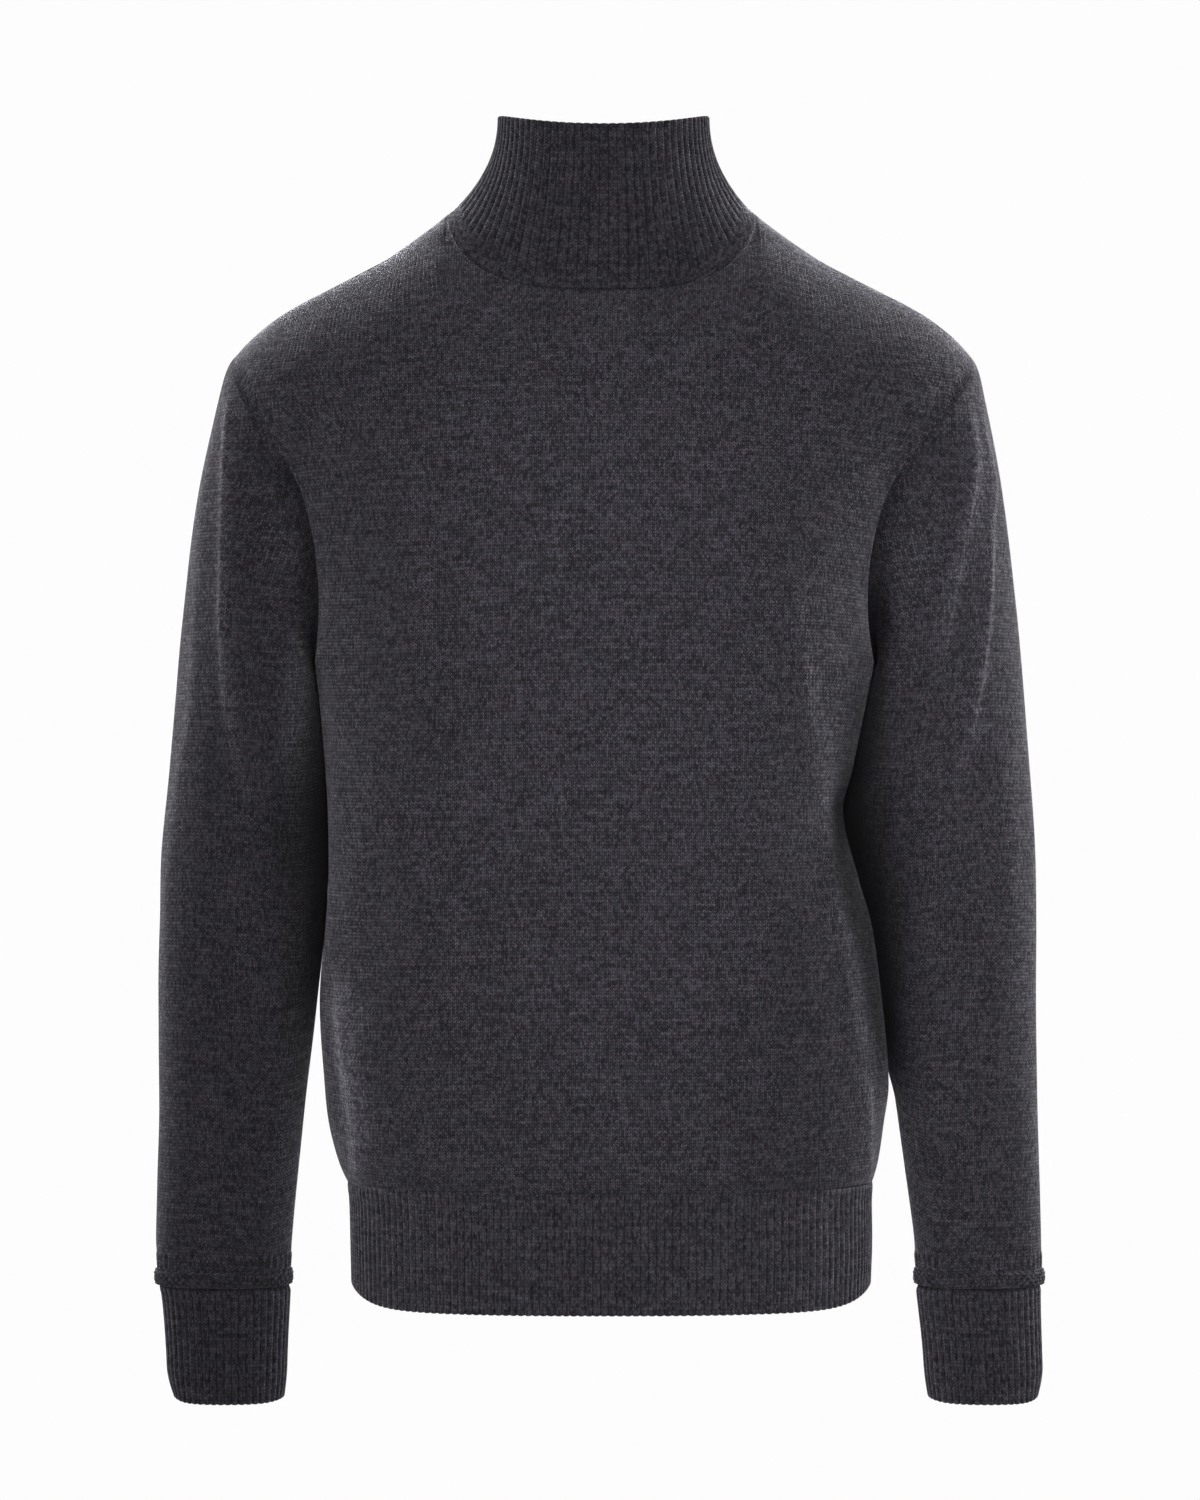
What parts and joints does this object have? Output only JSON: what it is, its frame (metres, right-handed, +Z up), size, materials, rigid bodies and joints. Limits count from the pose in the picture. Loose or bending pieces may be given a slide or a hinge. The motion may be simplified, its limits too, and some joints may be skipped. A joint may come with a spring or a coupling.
{
  "type": "mock neck sweater",
  "caption": "Long-sleeved knitted sweater with a close ribbed stand-up collar, ribbed hem and ribbed cuffs, hollow and filled out as when worn.",
  "frame": {"origin": "midway between the two high shoulder points, where shoulder and collar meet, on the shoulder line", "axes": "+X towards the wearer's left, +Y towards the back, +Z up"},
  "size_m": [0.5597, 0.242, 0.8093],
  "materials": {
    "body_knit": "charcoal melange wool, plain knit, soft and matt",
    "sleeve_knit": "charcoal melange wool, plain knit, soft and matt",
    "collar_rib": "charcoal melange wool, fine rib",
    "hem_rib": "charcoal melange wool, fine rib",
    "cuff_rib": "charcoal melange wool, fine rib"
  },
  "bodies": {
    "root": {"front_panel": "body_knit", "back_panel": "body_knit", "sleeve_right": "sleeve_knit", "sleeve_left": "sleeve_knit", "collar": "collar_rib", "hem_rib_front": "hem_rib", "hem_rib_back": "hem_rib", "cuff_right": "cuff_rib", "cuff_left": "cuff_rib"}
  },
  "joints": []
}
